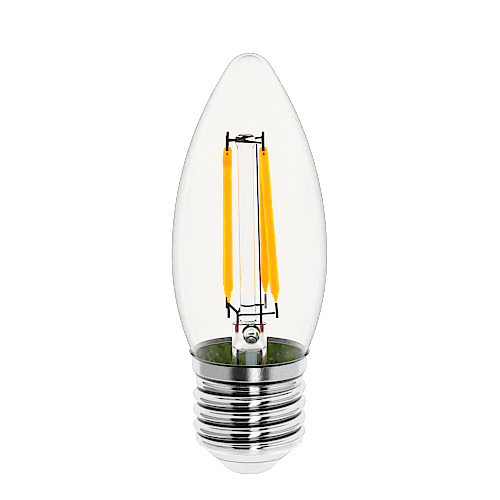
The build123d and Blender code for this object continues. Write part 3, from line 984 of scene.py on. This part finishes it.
@dataclass
class ScrewCap(SubAssembly):
    """The rolled shell, the insulator below it and the contact.

    Points of the shoulder count from the thread's root and top, points of its end and of the crease from the
    collar's foot, and points of the lip from the rim.
    """

    cap_height: float = 28.4
    collar_radius: float = 13.2
    collar_foot: float = 24.3
    crease: tuple[Point, ...] = ((0.0, 0.02), (-0.14, 0.15), (0.0, 0.3))
    lip: tuple[Point, ...] = ((0.0, -0.78), (0.70, -0.10), (0.65, 0.0), (-0.3, -0.85))
    lip_round: float = 0.16
    wall: float = 0.3
    thread_top: float = 21.6
    shoulder_step: float = 1.1
    shoulder: tuple[Point, ...] = ((0.0, 0.0), (0.12, 0.12), (0.36, 0.55), (0.16, 1.1), (0.30, 1.35))
    shoulder_end: tuple[Point, ...] = ((-0.25, -0.35), (0.0, 0.0))
    shoulder_round: float = 0.45
    crest_radius: float = 13.05
    depth: float = 1.05
    pitch: float = 3.629
    crest_share: float = 0.56
    runout: float = 1.2
    crest_height: float = 12.8
    thread_foot: float = 8.3
    bowl_height: float = 6.6
    bowl_radius: float = 11.45
    mouth_height: float = 4.2
    mouth_radius: float = 9.1
    thread_bore: float = 11.7
    seat_gap: float = 0.08
    rivet_bore: float = 1.08
    cone_top: float = 8.4
    cone_foot: float = 5.5
    cone_step: float = 0.3
    cone_round: float = 0.7
    contact_top: float = 0.6
    sleeve_top: float = 11.3
    sleeve_wall: float = 1.0
    turn_points: int = 216
    rings_per_pitch: int = 30
    bowl_steps: int = 10
    sharp: float = 50.0
    plated: PlatedFinish = PlatedFinish("nickel_plate")
    plastic: PlasticFinish = PlasticFinish("off_white_plastic", (0.565, 0.57, 0.57), 0.42, 0.15)
    contact: WireFinish = WireFinish("pressed_contact", (0.80, 0.80, 0.79), (0.74, 0.73, 0.72), 0.4, 0.25)

    def round_thread(self, shift: float) -> float:
        """Depth of the thread's groove below its crest.

        Args:
            shift: Distance from the crest along the axis.

        Returns:
            The depth, for a round crest and a round root that meet on the flank.
        """
        steep = 2 * math.atan(2 * self.depth / self.pitch)
        both = self.pitch / (2 * math.sin(steep))
        crest, root = both * self.crest_share, both * (1 - self.crest_share)
        away = abs((shift + self.pitch / 2) % self.pitch - self.pitch / 2)
        if away <= crest * math.sin(steep):
            return crest - math.sqrt(crest**2 - away**2)
        return self.depth - root + math.sqrt(root**2 - (self.pitch / 2 - away) ** 2)

    def thread_ring(self, height: float) -> list[Vector]:
        """Points round the thread at one height.

        Args:
            height: Where they lie.

        Returns:
            The points, with the thread faded out near its ends.
        """
        start = smooth(min(1.0, (height - self.thread_foot) / self.runout))
        end = smooth(min(1.0, (self.thread_top - height) / self.runout))
        ring = []
        for i in range(self.turn_points):
            turn = 2 * math.pi * i / self.turn_points
            crest = self.crest_height + self.pitch * turn / (2 * math.pi)
            groove = self.round_thread(height - crest)
            groove = groove * start + self.depth / 2 * (1 - start)
            groove = groove * end + self.depth * (1 - end)
            radius = self.crest_radius - groove
            ring.append(Vector((radius * math.cos(turn), radius * math.sin(turn), height)))
        return ring

    def bowl(self) -> list[Point]:
        """Profile of the bowl, from the shell's mouth up to the thread.

        Returns:
            Radius and height of each point.
        """
        wide = self.crest_radius - self.depth / 2 - self.bowl_radius
        tall = self.thread_foot - self.bowl_height
        turns = (math.pi / 2 * i / self.bowl_steps for i in range(1, self.bowl_steps + 1))
        bulge = [
            (self.bowl_radius + wide * math.sin(t), self.bowl_height + tall * (1 - math.cos(t)))
            for t in turns
        ]
        return [(self.mouth_radius, self.mouth_height), (self.bowl_radius, self.bowl_height), *bulge]

    def collar(self) -> list[Point]:
        """Profile of the shoulder above the thread, the collar, its rolled lip and the shell's inside.

        Returns:
            Radius and height of each point, up the outside and down the inside.
        """
        root, top = self.crest_radius - self.depth, self.thread_top
        wide, foot, rim = self.collar_radius, self.collar_foot, self.cap_height
        shoulder = [(root + x, top + z) for x, z in self.shoulder]
        shoulder += [(wide + x, foot + z) for x, z in self.shoulder_end]
        lip = [(wide + x, foot + z) for x, z in self.crease]
        lip += [(wide + x, rim + z) for x, z in self.lip]
        lip.append((wide - self.wall, foot))
        inside = [
            (self.thread_bore, top + self.shoulder_step),
            (self.thread_bore, top),
            (self.thread_bore, self.thread_foot),
            (self.bowl_radius - self.wall, self.bowl_height),
            (self.mouth_radius - self.wall, self.mouth_height),
        ]
        return [*rounded(shoulder, self.shoulder_round), *rounded(lip, self.lip_round), *inside]

    def shell(self) -> bpy.types.Object:
        """Makes the shell from its mouth, up the outside, over the lip and down the inside.

        Returns:
            The new object.
        """
        tall = self.thread_top - self.thread_foot
        steps = round(tall / self.pitch * self.rings_per_pitch)
        rings = [circle(radius, height, self.turn_points) for radius, height in self.bowl()]
        rings += [self.thread_ring(self.thread_foot + tall * i / steps) for i in range(1, steps)]
        rings += [circle(radius, height, self.turn_points) for radius, height in self.collar()]
        mesh = bmesh.new()
        skin(mesh, rings, Winding.LOOPED)
        return mesh_object("rolled_shell", mesh, self.sharp)

    def insulator(self) -> list[Point]:
        """Profile of the insulator, with the edges of its cone rounded.

        Returns:
            Radius and height of each point.
        """
        sleeve = self.bowl_radius - self.wall - self.seat_gap
        cone = [
            (self.rivet_bore, self.contact_top),
            (self.cone_foot, self.contact_top),
            (self.cone_top, self.mouth_height - self.cone_step),
            (self.mouth_radius - self.wall - self.seat_gap, self.mouth_height),
            (sleeve, self.bowl_height),
        ]
        bore = sleeve - self.sleeve_wall
        inner = [(sleeve, self.sleeve_top), (bore, self.sleeve_top), (bore, self.bowl_height)]
        return [*rounded(cone, self.cone_round), *inner, (self.rivet_bore, self.bowl_height)]

    def build(self) -> None:
        """Makes the shell with its round thread, and the insulator."""
        self.adopt(self.shell(), "plated_shell", self.plated, "cap_shell")
        moulded = lathe("moulded_insulator", self.insulator(), Winding.LOOPED)
        self.adopt(moulded, "cap_plastic", self.plastic, "cap_insulator")

    def dress(self) -> None:
        """Dresses the contact."""
        self.wear(self.contact, "centre_contact")


@dataclass
class Cement(SubAssembly):
    """The paste that holds the glass in the cap."""

    foot: float = 17.8
    shoulder_top: float = 22.7
    collar_foot: float = 24.3
    lip_foot: float = 27.2
    top: float = 27.8
    edge_drop: float = 0.3
    edge_width: float = 0.06
    thread_bore: float = 11.62
    collar_bore: float = 12.88
    lip_bore: float = 13.25
    skin_gap: float = 0.03
    finish: PasteFinish = PasteFinish(
        "olive_paste", (0.13, 0.25, 0.0), (0.004, 0.026, 0.0), (0.60, 0.68, 0.01)
    )

    def build(self) -> None:
        """Fills the room between the glass and the shell."""
        envelope = Envelope()
        neck, edge = envelope.neck_radius + self.skin_gap, self.top - self.edge_drop
        glass = [point for point in envelope.section(-self.skin_gap) if self.foot < point[1] < edge]
        inner = [(self.lip_bore - self.edge_width, self.top), *glass, (neck, self.foot)]
        wall = [
            (self.thread_bore, self.foot),
            (self.thread_bore, self.shoulder_top),
            (self.collar_bore, self.collar_foot),
            (self.collar_bore, self.lip_foot),
            (self.lip_bore, self.top),
        ]
        paste = lathe("olive_cement", [*inner, *wall], Winding.LOOPED)
        self.adopt(paste, "olive_cement", self.finish, "capping_cement")


@dataclass
class Stem(SubAssembly):
    """The glass stem: flare and press, exhaust tube and column."""

    rim_height: float = 17.3
    rim_radius: float = 11.12
    rim_bore: float = 10.42
    flare_top: float = 21.3
    flare_steps: int = 24
    tube_radius: float = 4.0
    tube_bore: float = 3.1
    tube_steps: int = 8
    press_foot: float = 29.6
    press_blend: float = 2.3
    press_top: float = 35.0
    press_half_depth: float = 1.7
    press_edge: float = 0.35
    press_steps: int = 64
    bore_dome: float = 0.45
    dome_steps: int = 14
    turn_points: int = 240
    rod_points: int = 96
    sharp: float = 60.0
    hole_x: float = 0.45
    hole_height: float = 32.7
    hole_radius: float = 1.1
    hole_depth: float = 1.2
    lip_radius: float = 2.2
    lip_stand: float = 0.6
    seat_gap: float = 0.02
    exhaust_radius: float = 1.3
    exhaust_bore: float = 0.9
    exhaust_tip: float = 16.9
    lean: float = -0.015
    column_x: float = -0.3
    column_foot: float = 35.04
    bead_radius: float = 1.95
    bead_height: float = 3.6
    bead_full: float = 0.45
    rod_radius: float = 1.75
    rod_end: float = 75.2
    button_radius: float = 2.35
    button_foot: float = 75.7
    button_top: float = 78.3
    button_full: Point = (0.3, 0.7)
    button_edge: float = 0.7
    column_round: float = 0.7
    column_steps: int = 8
    # The column paints a dark shade line where it is seen edge on.
    drawn: GlassFinish = GlassFinish(
        "drawn_stem_glass", (0.972, 0.974, 0.978), (0.2, 0.19, 0.19), edge_shade_end=0.95, edge_shade_share=0.55
    )
    # The press paints a pale glow of emitted light, and a dark crescent below its hole in place of the cement
    # seen through it.
    pressed: GlassFinish = GlassFinish(
        "pressed_stem_glass",
        painted_glow=0.8,
        painted_glow_color=(0.95, 0.95, 0.95),
        painted_glow_foot=29.3,
        painted_glow_top=33.4,
        hole=(0.45, 32.7),
        hole_reach=2.2,
    )
    # The tube paints a faint bluish glow of emitted light.
    tube: GlassFinish = GlassFinish(
        "tube_glass_painted_glow", bending=1.3, painted_glow=0.15, painted_glow_color=(0.45, 0.52, 0.62)
    )

    def relief(self, point: Vector) -> Vector:
        """Raises the lip round the exhaust hole on the press's front, and sinks the hole.

        Args:
            point: A point of the plain press.

        Returns:
            The point in its place.
        """
        away = math.hypot(point.x - self.hole_x, point.z - self.hole_height)
        if point.y >= 0 or away >= self.lip_radius:
            return point
        if away < self.hole_radius:
            return point + Vector((0, self.hole_depth * math.cos(math.pi / 2 * away / self.hole_radius), 0))
        across = (away - self.hole_radius) / (self.lip_radius - self.hole_radius)
        return point - Vector((0, self.lip_stand * math.sin(math.pi * across), 0))

    def press_ring(self, height: float) -> list[Vector]:
        """Points round the press at one height.

        Args:
            height: Where they lie.

        Returns:
            The points, round at the foot and flat further up.
        """
        share = smooth(min(1.0, (height - self.press_foot) / self.press_blend))
        depth = self.tube_radius + (self.press_half_depth - self.tube_radius) * share
        edge = max(0.0, height - self.press_top + self.press_edge) / self.press_edge
        inset = self.press_edge * (1 - math.sqrt(max(0.0, 1 - edge**2)))
        ring = slot(self.tube_radius - inset, depth - inset, height, self.turn_points)
        return [self.relief(point) for point in ring]

    def bell(self, rim: float, tube: float) -> list[Point]:
        """Profile of the flare, from its rim up to the tube.

        Args:
            rim: Radius at the rim.
            tube: Radius of the tube.

        Returns:
            Radius and height of each point.
        """
        drop = self.flare_top - self.rim_height
        shares = (i / self.flare_steps for i in range(self.flare_steps + 1))
        return [(tube + (rim - tube) * (1 - t) ** 2, self.rim_height + drop * t) for t in shares]

    def flare(self) -> bpy.types.Object:
        """Makes the flare, its tube and the press as one closed skin.

        Returns:
            The new object.
        """
        count, steps = self.turn_points, self.tube_steps
        tall, rise = self.press_foot - self.flare_top, self.press_top - self.press_foot
        profile = self.bell(self.rim_radius, self.tube_radius)
        profile += [(self.tube_radius, self.flare_top + tall * i / steps) for i in range(1, steps)]
        rings = [circle(radius, height, count) for radius, height in profile]
        heights = (self.press_foot + rise * i / self.press_steps for i in range(self.press_steps + 1))
        rings += [self.press_ring(height) for height in heights]
        mesh = bmesh.new()
        outer = skin(mesh, rings, Winding.OPEN)
        mesh.faces.new(outer[-1])
        dome_foot = self.press_foot - self.bore_dome
        quarter = arc((0.0, 0.0), 1.0, 90, 0, self.dome_steps)
        dome = [(self.tube_bore * r, dome_foot + self.bore_dome * z) for r, z in quarter]
        bore = [(0.0, dome[0][1]), *dome[1:], *reversed(self.bell(self.rim_bore, self.tube_bore))]
        inner = skin(mesh, [circle(radius, height, count) for radius, height in bore], Winding.OPEN)
        for i in range(count):
            j = (i + 1) % count
            mesh.faces.new((outer[0][i], outer[0][j], inner[-1][j], inner[-1][i]))
        return mesh_object("clear_flare_press", mesh, self.sharp)

    def exhaust(self) -> bpy.types.Object:
        """Makes the closed exhaust tube below the press.

        Returns:
            The new object.
        """
        top, tip, steps = self.press_foot - self.seat_gap, self.exhaust_tip, self.dome_steps
        outer = [*arc((0.0, tip), self.exhaust_radius, -90, 0, steps)[1:], (self.exhaust_radius, top)]
        inner = [(self.exhaust_bore, top), *arc((0.0, tip), self.exhaust_bore, 0, -90, steps)[:-1]]
        profile = [(0.0, tip - self.exhaust_radius), *outer, *inner, (0.0, tip - self.exhaust_bore)]
        axis = (self.hole_x, 0.0)
        return lathe("closed_exhaust_tube", profile, Winding.OPEN, self.rod_points, self.sharp, axis)

    def column(self) -> bpy.types.Object:
        """Makes the leaning column with its bead and its button.

        Returns:
            The new object.
        """
        foot = self.column_foot
        head = self.button_top - self.button_foot
        corners = [
            (0.0, foot),
            (self.bead_radius, foot),
            (self.bead_radius, foot + self.bead_height * self.bead_full),
            (self.rod_radius, foot + self.bead_height),
            (self.rod_radius, self.rod_end),
            *((self.button_radius, self.button_foot + share * head) for share in self.button_full),
            (self.button_radius - self.button_edge, self.button_top),
            (0.0, self.button_top),
        ]
        axis = (self.column_x - self.lean * self.press_top, self.lean)
        profile = rounded(corners, self.column_round, self.column_steps)
        return lathe("drawn_column", profile, Winding.OPEN, self.rod_points, self.sharp, axis)

    def build(self) -> None:
        """Makes the three glass pieces."""
        self.adopt(self.flare(), "stem_glass", self.pressed, "stem_flare")
        self.adopt(self.exhaust(), "stem_glass", self.tube, "exhaust_tube")
        self.adopt(self.column(), "stem_glass", self.drawn, "stem_column")


@dataclass
class Filaments(SubAssembly):
    """Four filaments with rounded heads and drawn-out feet, and their end tabs."""

    STORED = ("across", "strip", "stain")

    width: float = 2.0
    thickness: float = 1.35
    head: float = 1.1
    head_power: float = 2.6
    end_reach: float = 0.2
    loose_foot: float = 4.16
    wobble_scale: float = 0.55
    wobble: Point = (0.05, 0.12)
    shift_scale: float = 0.7
    shift_row: float = 9.0
    shift: float = 0.22
    feet: Mapping[str, Sequence[Point]] = field(
        default_factory=lambda: {
            "front_left": (
                (0.0, 0.0), (0.12, 0.26), (0.6, 0.40), (1.0, 0.34), (1.5, 0.62), (2.1, 0.94), (2.9, 1.0),
            ),
            "back_left": ((0.0, 0.0), (0.15, 0.30), (0.8, 0.42), (2.6, 1.0)),
            "front_right": ((0.0, 0.0), (0.12, 0.20), (0.7, 0.34), (1.6, 0.62), (2.8, 0.96), (3.4, 1.0)),
            "back_right": ((0.0, 0.0), (0.2, 0.18), (1.0, 0.36), (2.2, 0.70), (3.4, 1.0)),
        }
    )
    bite: Mapping[str, Point] = field(default_factory=lambda: {"front_left": (2.2, 0.45)})
    bite_reach: float = 0.45
    blotch: Mapping[str, float] = field(default_factory=lambda: {"front_left": 2.4, "back_right": 9.0})
    blotch_reach: float = 0.9
    no_blotch: float = -9.0
    first_seed: float = 1.3
    seed_step: float = 3.7
    steps: int = 140
    points: int = 40
    crowding: float = 0.55
    squareness: float = 2.5
    shut_share: float = 0.001
    thin_share: float = 0.2
    thin_spread: float = 0.9
    strip_length: float = 1.0
    strip_fade: float = 0.25
    strip_half: float = 0.34
    strip_edge: float = 0.12
    sharp: float = 80.0
    pale_end: str = "end_tab_bottom_back_right"
    phosphor: PhosphorFinish = PhosphorFinish("phosphor_silicone")
    tab: WireFinish = DarkWireFinish("dark_tab_strip", (0.012, 0.012, 0.014), (0.004, 0.004, 0.004))
    pale_tab: WireFinish = DarkWireFinish("pale_tab_strip", (0.42, 0.40, 0.38), (0.30, 0.28, 0.26))

    def axis(self, node: str) -> tuple[Vector, Vector]:
        """The middles of a packed filament's two ends.

        Args:
            node: The filament's name.

        Returns:
            The lower end's middle and the upper end's.
        """
        points = [vertex.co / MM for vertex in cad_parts[node].data.vertices]
        low, high = min(p.z for p in points), max(p.z for p in points)
        foot = [p for p in points if p.z < low + self.end_reach]
        head = [p for p in points if p.z > high - self.end_reach]
        return tuple(sum(end, Vector()) / len(end) for end in (foot, head))

    def swell(self, side: str, along: float, length: float) -> float:
        """Share of the full section at a distance from the foot.

        Args:
            side: Which of the four filaments it is.
            along: The distance.
            length: The filament's whole length.

        Returns:
            The share, from 0 at both ends to 1.
        """
        for (low, first), (high, second) in zip(self.feet[side], self.feet[side][1:]):
            if along < high:
                t = (along - low) / (high - low)
                return first + (second - first) * (math.sqrt(t) if first == 0 else smooth(t))
        if along > length - self.head:
            t = (along - length + self.head) / self.head
            return math.sqrt(max(0.0, 1 - t**self.head_power))
        return 1.0

    def outline(self, side: str, along: float) -> list[tuple[float, float, float]]:
        """Points round a full section, with the bite that some filaments have.

        Args:
            side: Which of the four filaments it is.
            along: Distance from the foot.

        Returns:
            Each point's place across, its place out and its place across with the bite, as shares of half
            the width and half the thickness.
        """
        place, depth = self.bite.get(side, (0.0, 0.0))
        depth *= math.exp(-(((along - place) / self.bite_reach) ** 2))
        power = 2 / self.squareness
        points = []
        for j in range(self.points):
            turn = 2 * math.pi * j / self.points
            x, y = (math.copysign(abs(c) ** power, c) for c in (math.cos(turn), math.sin(turn)))
            points.append((x, y, x - depth * max(0.0, x)))
        return points

    def rod(self, side: str, seed: float) -> bpy.types.Object:
        """Makes one filament along its packed axis.

        Args:
            side: Which of the four it is.
            seed: Where its unevenness is read from.

        Returns:
            The new object, with its shading attributes.
        """
        start, end = self.axis(f"led_filament_{side}")
        run = end - start
        up = run.normalized()
        across = (Vector((1, 0, 0)) - up * up.x).normalized()
        out = up.cross(across)
        rings, stored = [], {name: [] for name in self.STORED}
        for i in range(self.steps + 1):
            t = i / self.steps
            crowded = 0.5 - 0.5 * math.cos(math.pi * t)
            along = run.length * (self.crowding * crowded + (1 - self.crowding) * t)
            share = self.swell(side, along, run.length)
            loose = max(0.0, 1 - along / self.loose_foot)
            wobble = noise.noise(Vector((seed, along * self.wobble_scale, 0.0)))
            wobble *= self.wobble[0] + self.wobble[1] * loose
            shift = noise.noise(Vector((seed, along * self.shift_scale, self.shift_row)))
            shift *= self.shift * loose
            centre = start + up * along + across * shift
            if share < self.shut_share:
                rings.append([centre])
                for values in stored.values():
                    values.append(0.0)
                continue
            wide, thick = (size / 2 * share * (1 + wobble) for size in (self.width, self.thickness))
            top = clamped((along - run.length + self.strip_length) / self.strip_fade)
            blotch = run.length - along - self.blotch.get(side, self.no_blotch)
            outline = self.outline(side, along)
            rings.append([centre + across * (wide * bitten) + out * (thick * y) for _, y, bitten in outline])
            spread = [abs(x) * share + (1 - share) * self.thin_spread for x, _, _ in outline]
            aside = (place / max(share, self.thin_share) for place in spread)
            stored["across"] += spread
            stored["strip"] += [top * clamped((self.strip_half - gap) / self.strip_edge) for gap in aside]
            stored["stain"] += [math.exp(-((blotch / self.blotch_reach) ** 2))] * self.points
        mesh = bmesh.new()
        skin(mesh, rings, Winding.OPEN)
        made = mesh_object(f"filament_{side}", mesh, self.sharp)
        for name, values in stored.items():
            made.data.attributes.new(name, "FLOAT", "POINT").data.foreach_set("value", values)
        return made

    def build(self) -> None:
        """Makes the four filaments."""
        for i, side in enumerate(SIDES):
            rod = self.rod(side, self.seed_step * i + self.first_seed)
            self.adopt(rod, "phosphor", self.phosphor, f"led_filament_{side}")

    def dress(self) -> None:
        """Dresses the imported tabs."""
        tabs = {f"end_tab_{end}_{side}" for end in ("top", "bottom") for side in SIDES}
        self.wear(self.tab, *sorted(tabs - {self.pale_end}))
        self.wear(self.pale_tab, self.pale_end)


@dataclass
class Wires(SubAssembly):
    """Leads and supports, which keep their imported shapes."""

    support: WireFinish = DarkWireFinish("dull_support_wire", (0.012, 0.011, 0.012), (0.004, 0.004, 0.005))
    lead: WireFinish = DarkWireFinish("dull_lead_wire", (0.012, 0.012, 0.013), (0.004, 0.004, 0.005))
    riser: WireFinish = DarkWireFinish("blued_riser_wire", (0.026, 0.028, 0.15), (0.010, 0.011, 0.07), 0.42)
    seal: WireFinish = DarkWireFinish("copper_seal_wire", (0.34, 0.06, 0.03), (0.13, 0.025, 0.015), 0.5)

    def dress(self) -> None:
        """Dresses each kind of wire."""
        self.wear(self.support, "top_support_wire_lower", "top_support_wire_upper", "left_tie_wire")
        self.wear(self.support, "front_cross_wire", "rear_cross_wire")
        self.wear(self.riser, "riser_wire")
        self.wear(self.lead, "inner_lead_left", "inner_lead_right", "outer_lead_left", "outer_lead_right")
        self.wear(self.seal, "seal_wire_left", "seal_wire_right")


@dataclass
class Driver(SubAssembly):
    """The driver board and its parts, inside the cap."""

    board: PlasticFinish = PlasticFinish("green_laminate", (0.05, 0.17, 0.08), 0.5)
    black: PlasticFinish = PlasticFinish("black_moulding", (0.02, 0.02, 0.02), 0.5, grain_scale=4000.0)
    sleeve: PlasticFinish = PlasticFinish("dark_sleeve", (0.02, 0.03, 0.07), 0.35)
    fuse: PlasticFinish = PlasticFinish("pale_blue_coat", (0.20, 0.38, 0.42), 0.4)
    tinned: WireFinish = WireFinish("tinned_copper", (0.72, 0.46, 0.30), (0.55, 0.33, 0.2), 0.4)

    def dress(self) -> None:
        """Dresses the board's parts."""
        self.wear(self.board, "driver_board")
        self.wear(self.black, "bridge_rectifier", "driver_chip")
        self.wear(self.sleeve, "smoothing_capacitor")
        self.wear(self.fuse, "fuse_resistor")
        self.wear(self.tinned, "live_wire", "neutral_wire")


# The studio


@dataclass(frozen=True)
class Sector:
    """A sector of the room between two turns from the camera's side, in degrees, with soft borders.

    Its greys go from straight down, -90 degrees, to straight up.
    """

    low: float
    high: float
    low_soft: float
    high_soft: float
    greys: tuple[Point, ...]


@dataclass
class Studio:
    """Floor, surroundings and camera of the picture."""

    floor_drop: float = 0.4
    floor_size: float = 4000.0
    camera_place: tuple[float, float, float] = (0.14, -507.1, 156.3)
    camera_pitch: float = 11.64
    camera_start: float = 10.0
    lens: float = 164.1
    sensor: float = 36.0
    glass_bounces: int = 32
    sharpness: float = 0.12
    field_fade: Point = (0.45, 0.75)
    field_top: float = 0.03
    room: tuple[Point, ...] = ((-90, 0.0), (-72, 0.0), (-66, 1.0), (70, 1.0), (78, 0.2), (90, 0.2))
    left: Sector = Sector(
        -118.0, -41.0, 1.5, 7.0,
        (
            (-90, 0.0), (-70, 0.0), (-62, 0.8), (-42, 0.8), (-32, 0.16), (-24, 0.5), (-5, 0.5), (3, 0.16),
            (12, 0.9), (66, 0.9), (74, 0.1), (90, 0.1),
        ),
    )
    right: Sector = Sector(
        42.0, 118.0, 7.0, 1.5,
        (
            (-90, 0.0), (-70, 0.0), (-62, 1.0), (-42, 1.0), (-32, 0.24), (-24, 0.76), (-5, 0.76), (3, 0.24),
            (12, 1.0), (66, 1.0), (74, 0.2), (90, 0.2),
        ),
    )
    front: Sector = Sector(
        -41.0, 42.0, 7.0, 7.0,
        (
            (-90, 0.0), (-76, 0.0), (-72, 0.9), (-65, 0.9), (-61, 0.03), (20, 0.03), (27, 0.9), (62, 0.9),
            (70, 0.0), (90, 0.0),
        ),
    )
    strip: Sector = Sector(1.0, 21.0, 4.0, 4.0, ((-90, 0.3), (-70, 1.2), (66, 1.2), (74, 0.2), (90, 0.2)))

    def floor(self) -> None:
        """Lays the pale floor just under the contact."""
        mesh = bmesh.new()
        half = self.floor_size / 2
        corners = ((-half, -half), (half, -half), (half, half), (-half, half))
        mesh.faces.new([mesh.verts.new((x, y, -self.floor_drop)) for x, y in corners])
        plane = mesh_object("studio_floor", mesh)
        plane.data.materials.append(FloorFinish("pale_floor").material())
        plane.visible_glossy = False
        plane.visible_transmission = False

    def surroundings(self) -> None:
        """Makes a white backdrop, a bright field seen through glass and a room that the metal mirrors."""
        world = bpy.data.worlds.new("studio")
        world.use_nodes = True
        bpy.context.scene.world = world
        graph = Graph(world.node_tree)
        way = graph.add("SeparateXYZ", {"Vector": graph.add("TexCoord").outputs["Generated"]}).outputs
        turn = graph.math("ARCTAN2", way["X"], graph.times(way["Y"], -1.0))
        height = graph.math("MULTIPLY_ADD", graph.math("ARCSINE", way["Z"]), 1 / math.pi, 0.5)

        def column(greys: Sequence[Point]) -> Socket:
            """Greys from straight down to straight up."""
            return graph.ramp(height, [(tilt / 180 + 0.5, level) for tilt, level in greys])

        shade = column(self.room)
        for sector in (self.left, self.right, self.front, self.strip):
            borders = ((sector.low, sector.low_soft), (sector.high, sector.high_soft))
            rise, fall = (
                graph.ease(turn, math.radians(t - soft), math.radians(t + soft)) for t, soft in borders
            )
            mask = graph.times(rise, graph.math("SUBTRACT", 1.0, fall))
            shade = graph.mix(mask, shade, column(sector.greys))
        path = graph.add("LightPath").outputs
        through = graph.ease(way["Z"], *self.field_fade, 1.0, self.field_top)
        color = graph.mix(path["Is Transmission Ray"], shade, through)
        color = graph.mix(path["Is Camera Ray"], color, (1.0, 1.0, 1.0))
        light = graph.add("Background", {"Color": color, "Strength": 1.0}).outputs[0]
        graph.add("OutputWorld", {"Surface": light})

    def camera(self) -> None:
        """Sets the camera at the photograph's place."""
        data = bpy.data.cameras.new("camera")
        data.sensor_width = self.sensor
        data.lens = self.lens
        data.clip_start = self.camera_start * MM
        camera = bpy.data.objects.new("camera", data)
        camera.location = [c * MM for c in self.camera_place]
        camera.rotation_euler = (math.radians(90.0 - self.camera_pitch), 0.0, 0.0)
        bpy.context.scene.collection.objects.link(camera)
        bpy.context.scene.camera = camera

    def crispness(self) -> None:
        """Sharpens the finished picture a little."""
        scene = bpy.context.scene
        scene.use_nodes = True
        tree = scene.node_tree
        tree.nodes.clear()
        picture = tree.nodes.new("CompositorNodeRLayers")
        sharpen = tree.nodes.new("CompositorNodeFilter")
        sharpen.filter_type = "SHARPEN"
        sharpen.inputs["Fac"].default_value = self.sharpness
        result = tree.nodes.new("CompositorNodeComposite")
        tree.links.new(picture.outputs["Image"], sharpen.inputs["Image"])
        tree.links.new(sharpen.outputs["Image"], result.inputs["Image"])

    def build(self) -> None:
        """Sets the studio up."""
        scene = bpy.context.scene
        scene.view_settings.view_transform = "Standard"
        scene.cycles.max_bounces = self.glass_bounces
        scene.cycles.transmission_bounces = self.glass_bounces
        self.floor()
        self.surroundings()
        self.camera()
        self.crispness()


def main() -> None:
    """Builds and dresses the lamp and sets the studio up."""
    logging.basicConfig(level=logging.INFO, format="%(message)s")
    for part in (Envelope(), ScrewCap(), Cement(), Stem(), Filaments(), Wires(), Driver()):
        part.build()
        part.dress()
        for piece in part.pieces:
            LOG.info("%s: %s wears %s", type(part).__name__, piece.name, piece.data.materials[0].name)
    Studio().build()


if __name__ == "__main__":
    main()
